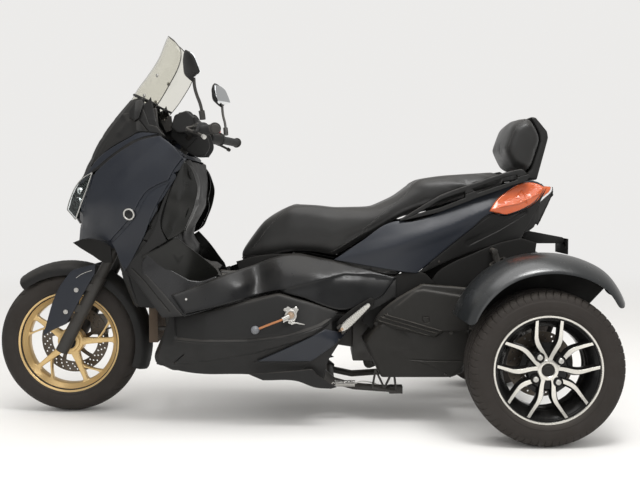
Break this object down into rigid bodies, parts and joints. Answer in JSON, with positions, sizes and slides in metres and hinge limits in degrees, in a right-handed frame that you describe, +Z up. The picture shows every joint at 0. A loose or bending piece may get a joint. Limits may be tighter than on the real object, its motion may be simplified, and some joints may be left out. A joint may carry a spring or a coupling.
{
  "type": "motorized trike",
  "caption": "Motorized trike on a large step-through scooter: steered front wheel, wide rear axle with arched fenders, lifting seat, windscreen, backrest and folded stand.",
  "frame": {"origin": "centre of the vehicle's footprint box, on the floor", "axes": "+X towards the tail, the nose towards -X; +Y towards the rider's right; +Z up"},
  "size_m": [2.2829, 1.09, 1.4589],
  "materials": {
    "body_paint": "satin navy black",
    "black_plastic": "fine textured",
    "clear_lens": "clear polished",
    "screen": "lightly smoked",
    "amber_lens": "faceted amber and red lens",
    "seat_cover": "grained leatherette, stitched",
    "frame_paint": "satin black",
    "cast_metal": "as cast",
    "steel": "bright zinc",
    "gold_wheel": "satin gold",
    "alloy_wheel": "machined face, black pockets",
    "tyre": "road tyre",
    "fender_paint": "satin charcoal",
    "grip_rubber": "ribbed",
    "heat_core": "dusty fins"
  },
  "bodies": {
    "chassis": {"frame": "frame_paint", "engine": "cast_metal", "radiator": "heat_core", "drive_case": "black_plastic", "muffler": "frame_paint", "axle_housing": "frame_paint", "rear_shocks": "frame_paint", "rear_fenders": "fender_paint", "fender_stays": "frame_paint", "upper_cowl": "black_plastic", "headlights": "clear_lens", "side_cowls": "body_paint", "lower_cowl": "black_plastic", "leg_shield": "black_plastic", "windscreen": "screen", "dashboard": "black_plastic", "footboards": "body_paint", "floor_tunnel": "black_plastic", "side_covers": "body_paint", "storage_tub": "black_plastic", "tail_lamps": "amber_lens", "tail_panels": "body_paint", "grab_rail": "black_plastic", "grab_rail_base": "black_plastic", "backrest_pad": "seat_cover", "backrest_shell": "black_plastic", "plate_bracket": "black_plastic", "parking_lever": "steel"},
    "steering": {"fork": "frame_paint", "front_fender": "body_paint", "fender_flags": "body_paint", "handlebar": "frame_paint", "grips": "grip_rubber", "controls": "black_plastic", "mirrors": "black_plastic", "handlebar_cover": "black_plastic", "front_caliper": "cast_metal"},
    "front_wheel": {"front_tyre": "tyre", "front_rim": "gold_wheel", "front_disc": "steel"},
    "rear_wheel_left": {"rear_tyre_left": "tyre", "rear_rim_left": "alloy_wheel", "rear_disc_left": "steel"},
    "rear_wheel_right": {"rear_tyre_right": "tyre", "rear_rim_right": "alloy_wheel", "rear_disc_right": "steel"},
    "seat": {"seat": "seat_cover"},
    "stand": {"centre_stand": "frame_paint"},
    "peg_left": {"pillion_peg_left": "cast_metal"},
    "peg_right": {"pillion_peg_right": "cast_metal"}
  },
  "joints": [
    {"name": "steering_turn", "type": "hinge", "parent": "chassis", "child": "steering", "pos_m": [-0.962, 0, 0], "axis": [0.4695, 0, 0.8829], "range_deg": [-36, 36]},
    {"name": "front_wheel_spin", "type": "hinge", "parent": "steering", "child": "front_wheel", "pos_m": [-0.867, 0, 0.2745], "axis": [0, 1, 0], "continuous": true},
    {"name": "rear_left_spin", "type": "hinge", "parent": "chassis", "child": "rear_wheel_left", "pos_m": [0.871, -0.445, 0.264], "axis": [0, 1, 0], "continuous": true},
    {"name": "rear_right_spin", "type": "hinge", "parent": "chassis", "child": "rear_wheel_right", "pos_m": [0.871, 0.445, 0.264], "axis": [0, 1, 0], "continuous": true},
    {"name": "seat_lift", "type": "hinge", "parent": "chassis", "child": "seat", "pos_m": [-0.184, 0, 0.588], "axis": [0, -1, 0], "range_deg": [0, 55]},
    {"name": "stand_swing", "type": "hinge", "parent": "chassis", "child": "stand", "pos_m": [0.15, 0, 0.14], "axis": [0, 1, 0], "range_deg": [0, 23]},
    {"name": "peg_left_fold", "type": "hinge", "parent": "chassis", "child": "peg_left", "pos_m": [0.188, -0.284, 0.364], "axis": [-0.6691, 0, 0.7431], "range_deg": [-80, 0]},
    {"name": "peg_right_fold", "type": "hinge", "parent": "chassis", "child": "peg_right", "pos_m": [0.188, 0.284, 0.364], "axis": [-0.6691, 0, 0.7431], "range_deg": [0, 80]}
  ]
}
